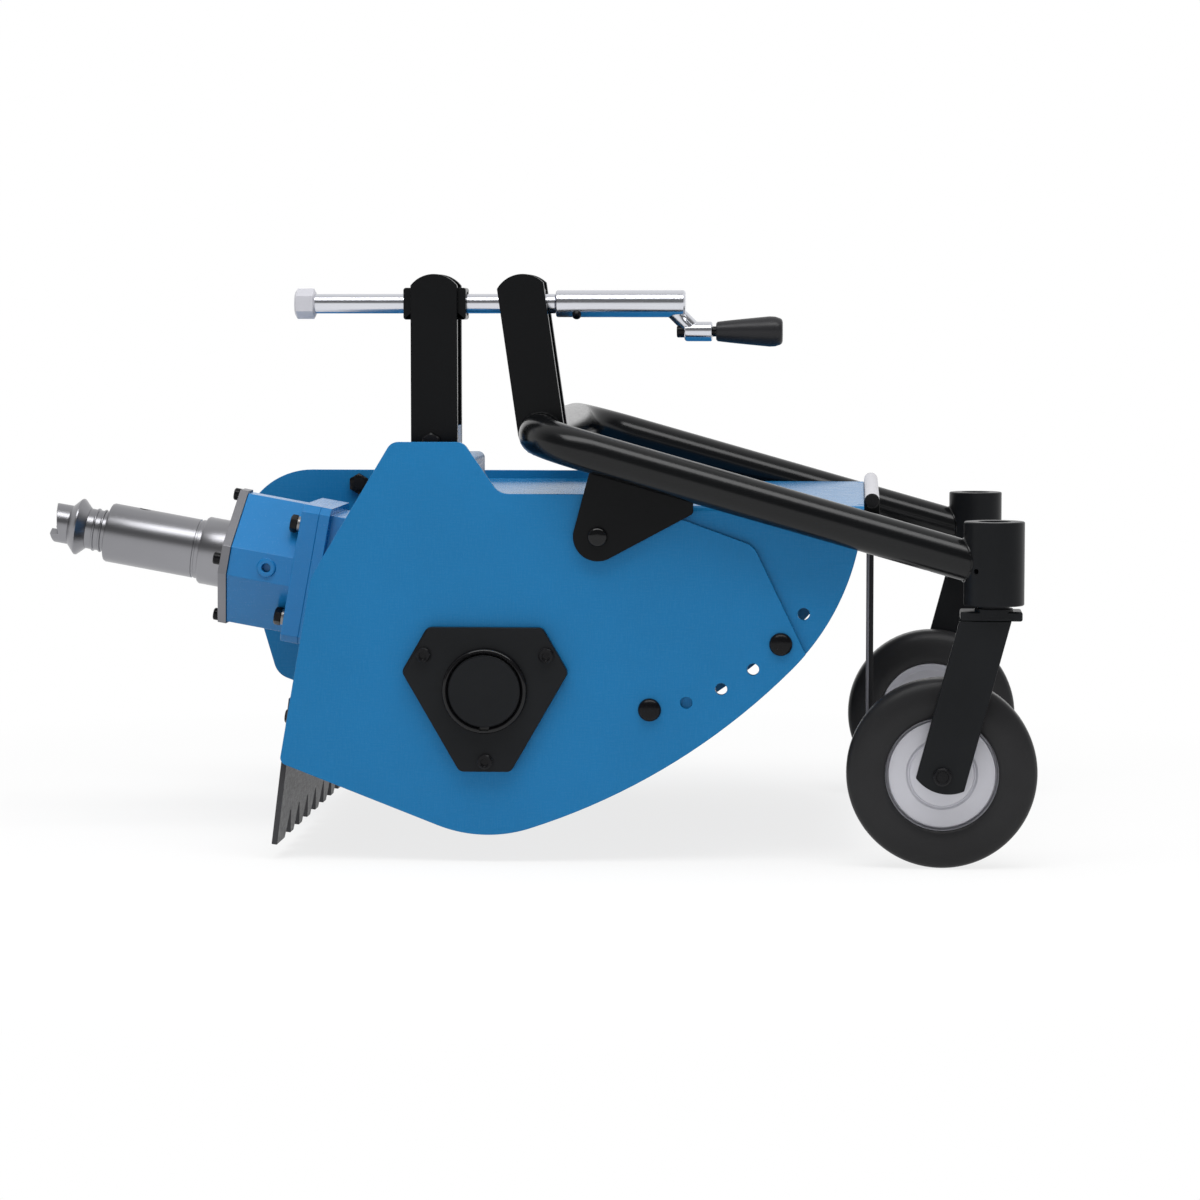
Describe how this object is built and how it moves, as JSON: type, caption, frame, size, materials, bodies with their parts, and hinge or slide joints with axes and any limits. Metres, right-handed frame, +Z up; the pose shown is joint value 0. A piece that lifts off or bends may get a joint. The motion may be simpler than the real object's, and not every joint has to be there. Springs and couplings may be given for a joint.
{
  "type": "hammer knife mower",
  "caption": "Front mounted hammer knife mower for a walking tractor: flail rotor under a steel deck, side belt drive from a bevel gearbox, and a castor frame set in height by a crank screw.",
  "frame": {"origin": "on the ground, in the middle of the part's length and width", "axes": "+X the way the machine travels, with the castors in front; +Z up; +Y the side with the belt drive"},
  "size_m": [1.1058, 0.7066, 0.6219],
  "materials": {
    "blue_paint": "semi-gloss blue paint on steel",
    "black_paint": "satin black powder coat",
    "grey_steel": "machined, dull warm grey",
    "turned_steel": "turned and lightly polished",
    "chrome": "bright plating",
    "zinc": "light zinc plating",
    "forged_steel": "dark forged steel",
    "rubber": "matt black rubber",
    "tyre": "matt solid tyre",
    "black_plastic": "moulded grip"
  },
  "bodies": {
    "mower_body": {"left_side_plate": "blue_paint", "right_side_plate": "blue_paint", "top_deck": "blue_paint", "rear_comb": "black_paint", "front_hood": "blue_paint", "gearbox_housing": "blue_paint", "gearbox_adapter": "blue_paint", "front_flange": "grey_steel", "pto_sleeve": "turned_steel", "drive_belt": "rubber", "drive_cover": "blue_paint", "cross_shaft_tube": "blue_paint", "left_bearing_housing": "black_paint", "right_bearing_housing": "black_paint", "left_rotor_bearing": "turned_steel", "right_rotor_bearing": "turned_steel", "cross_bearing": "turned_steel", "input_bearing": "turned_steel", "pedestal": "blue_paint", "left_upright": "black_paint", "right_upright": "black_paint", "hinge_tube": "zinc"},
    "input_drive": {"input_shaft": "turned_steel", "bevel_pinion": "forged_steel", "coupling_dog": "turned_steel"},
    "cross_drive": {"cross_shaft": "turned_steel", "bevel_gear": "forged_steel", "drive_pulley": "forged_steel"},
    "rotor": {"rotor_tube": "forged_steel", "driven_pulley": "forged_steel"},
    "hammer_a": {"hammer_01": "forged_steel"},
    "hammer_b": {"hammer_02": "forged_steel"},
    "hammer_c": {"hammer_03": "forged_steel"},
    "hammer_d": {"hammer_04": "forged_steel"},
    "hammer_e": {"hammer_05": "forged_steel"},
    "hammer_f": {"hammer_06": "forged_steel"},
    "hammer_g": {"hammer_07": "forged_steel"},
    "hammer_h": {"hammer_08": "forged_steel"},
    "hammer_i": {"hammer_09": "forged_steel"},
    "hammer_j": {"hammer_10": "forged_steel"},
    "hammer_k": {"hammer_11": "forged_steel"},
    "hammer_l": {"hammer_12": "forged_steel"},
    "height_frame": {"frame_tube": "black_paint", "left_gusset": "black_paint", "right_gusset": "black_paint", "left_arm_plate": "black_paint", "right_arm_plate": "black_paint"},
    "nut_trunnion": {"nut_block": "black_paint"},
    "arm_trunnion": {"arm_block": "black_paint"},
    "crank_screw": {"height_screw": "chrome", "crank_sleeve": "chrome"},
    "grip": {"crank_grip": "black_plastic"},
    "castor_left": {"castor_fork_left": "black_paint"},
    "castor_right": {"castor_fork_right": "black_paint"},
    "wheel_left": {"wheel_rim_left": "zinc", "tyre_left": "tyre"},
    "wheel_right": {"wheel_rim_right": "zinc", "tyre_right": "tyre"},
    "flap": {"flap_hanger": "black_paint", "front_flap": "rubber"}
  },
  "joints": [
    {"name": "frame_pivot_joint", "type": "hinge", "parent": "mower_body", "child": "height_frame", "pos_m": [0.0928, 0, 0.3466], "axis": [0, 1, 0], "range_deg": [-3, 6]},
    {"name": "arm_trunnion_joint", "type": "hinge", "parent": "height_frame", "child": "arm_trunnion", "pos_m": [0.0072, -0.205, 0.5903], "axis": [0, 1, 0], "range_deg": [-10.3, 5.2]},
    {"name": "nut_trunnion_joint", "type": "hinge", "parent": "mower_body", "child": "nut_trunnion", "pos_m": [-0.088, -0.205, 0.5903], "axis": [0, 1, 0], "range_deg": [-4.3, 2.2]},
    {"name": "screw_joint", "type": "hinge", "parent": "arm_trunnion", "child": "crank_screw", "pos_m": [0.0072, -0.205, 0.5903], "axis": [1, 0, 0], "range_deg": [-1165, 2325]},
    {"name": "grip_joint", "type": "hinge", "parent": "crank_screw", "child": "grip", "pos_m": [0.2128, -0.205, 0.5607], "axis": [1, 0, 0], "continuous": true},
    {"name": "castor_left_joint", "type": "hinge", "parent": "height_frame", "child": "castor_left", "pos_m": [0.5061, -0.3218, 0.278], "axis": [0, 0, 1], "continuous": true},
    {"name": "castor_right_joint", "type": "hinge", "parent": "height_frame", "child": "castor_right", "pos_m": [0.5061, 0.3218, 0.278], "axis": [0, 0, 1], "continuous": true},
    {"name": "wheel_left_joint", "type": "hinge", "parent": "castor_left", "child": "wheel_left", "pos_m": [0.4538, -0.297, 0.1], "axis": [0, 1, 0], "continuous": true},
    {"name": "wheel_right_joint", "type": "hinge", "parent": "castor_right", "child": "wheel_right", "pos_m": [0.4538, 0.297, 0.1], "axis": [0, 1, 0], "continuous": true},
    {"name": "flap_joint", "type": "hinge", "parent": "mower_body", "child": "flap", "pos_m": [0.3797, 0, 0.3825], "axis": [0, 1, 0], "range_deg": [-1, 25]},
    {"name": "rotor_joint", "type": "hinge", "parent": "mower_body", "child": "rotor", "pos_m": [-0.0262, 0, 0.1839], "axis": [0, 1, 0], "continuous": true},
    {"name": "cross_joint", "type": "hinge", "parent": "mower_body", "child": "cross_drive", "pos_m": [-0.295, 0, 0.2962], "axis": [0, 1, 0], "continuous": true},
    {"name": "input_joint", "type": "hinge", "parent": "mower_body", "child": "input_drive", "pos_m": [-0.295, 0, 0.2962], "axis": [-0.9839, 0, 0.1788], "continuous": true},
    {"name": "hammer_joint_01", "type": "hinge", "parent": "rotor", "child": "hammer_a", "pos_m": [0.02683, -0.259, 0.23693], "axis": [0, 1, 0], "range_deg": [-271, 1]},
    {"name": "hammer_joint_02", "type": "hinge", "parent": "rotor", "child": "hammer_b", "pos_m": [-0.07923, -0.213, 0.23693], "axis": [0, 1, 0], "range_deg": [-1, 271]},
    {"name": "hammer_joint_03", "type": "hinge", "parent": "rotor", "child": "hammer_c", "pos_m": [-0.07923, -0.167, 0.13087], "axis": [0, 1, 0], "range_deg": [-91, 181]},
    {"name": "hammer_joint_04", "type": "hinge", "parent": "rotor", "child": "hammer_d", "pos_m": [0.02683, -0.121, 0.13087], "axis": [0, 1, 0], "range_deg": [-181, 91]},
    {"name": "hammer_joint_05", "type": "hinge", "parent": "rotor", "child": "hammer_e", "pos_m": [0.02683, -0.075, 0.23693], "axis": [0, 1, 0], "range_deg": [-271, 1]},
    {"name": "hammer_joint_06", "type": "hinge", "parent": "rotor", "child": "hammer_f", "pos_m": [-0.07923, -0.029, 0.23693], "axis": [0, 1, 0], "range_deg": [-1, 271]},
    {"name": "hammer_joint_07", "type": "hinge", "parent": "rotor", "child": "hammer_g", "pos_m": [-0.07923, 0.017, 0.13087], "axis": [0, 1, 0], "range_deg": [-91, 181]},
    {"name": "hammer_joint_08", "type": "hinge", "parent": "rotor", "child": "hammer_h", "pos_m": [0.02683, 0.063, 0.13087], "axis": [0, 1, 0], "range_deg": [-181, 91]},
    {"name": "hammer_joint_09", "type": "hinge", "parent": "rotor", "child": "hammer_i", "pos_m": [0.02683, 0.109, 0.23693], "axis": [0, 1, 0], "range_deg": [-271, 1]},
    {"name": "hammer_joint_10", "type": "hinge", "parent": "rotor", "child": "hammer_j", "pos_m": [-0.07923, 0.155, 0.23693], "axis": [0, 1, 0], "range_deg": [-1, 271]},
    {"name": "hammer_joint_11", "type": "hinge", "parent": "rotor", "child": "hammer_k", "pos_m": [-0.07923, 0.201, 0.13087], "axis": [0, 1, 0], "range_deg": [-91, 181]},
    {"name": "hammer_joint_12", "type": "hinge", "parent": "rotor", "child": "hammer_l", "pos_m": [0.02683, 0.247, 0.13087], "axis": [0, 1, 0], "range_deg": [-181, 91]}
  ],
  "couplings": [
    {"joint": "arm_trunnion_joint", "follows": "frame_pivot_joint", "ratio": -1.7},
    {"joint": "nut_trunnion_joint", "follows": "frame_pivot_joint", "ratio": -0.7},
    {"joint": "screw_joint", "follows": "frame_pivot_joint", "ratio": 387},
    {"joint": "cross_joint", "follows": "rotor_joint", "ratio": 0.5},
    {"joint": "input_joint", "follows": "rotor_joint", "ratio": -0.5}
  ]
}
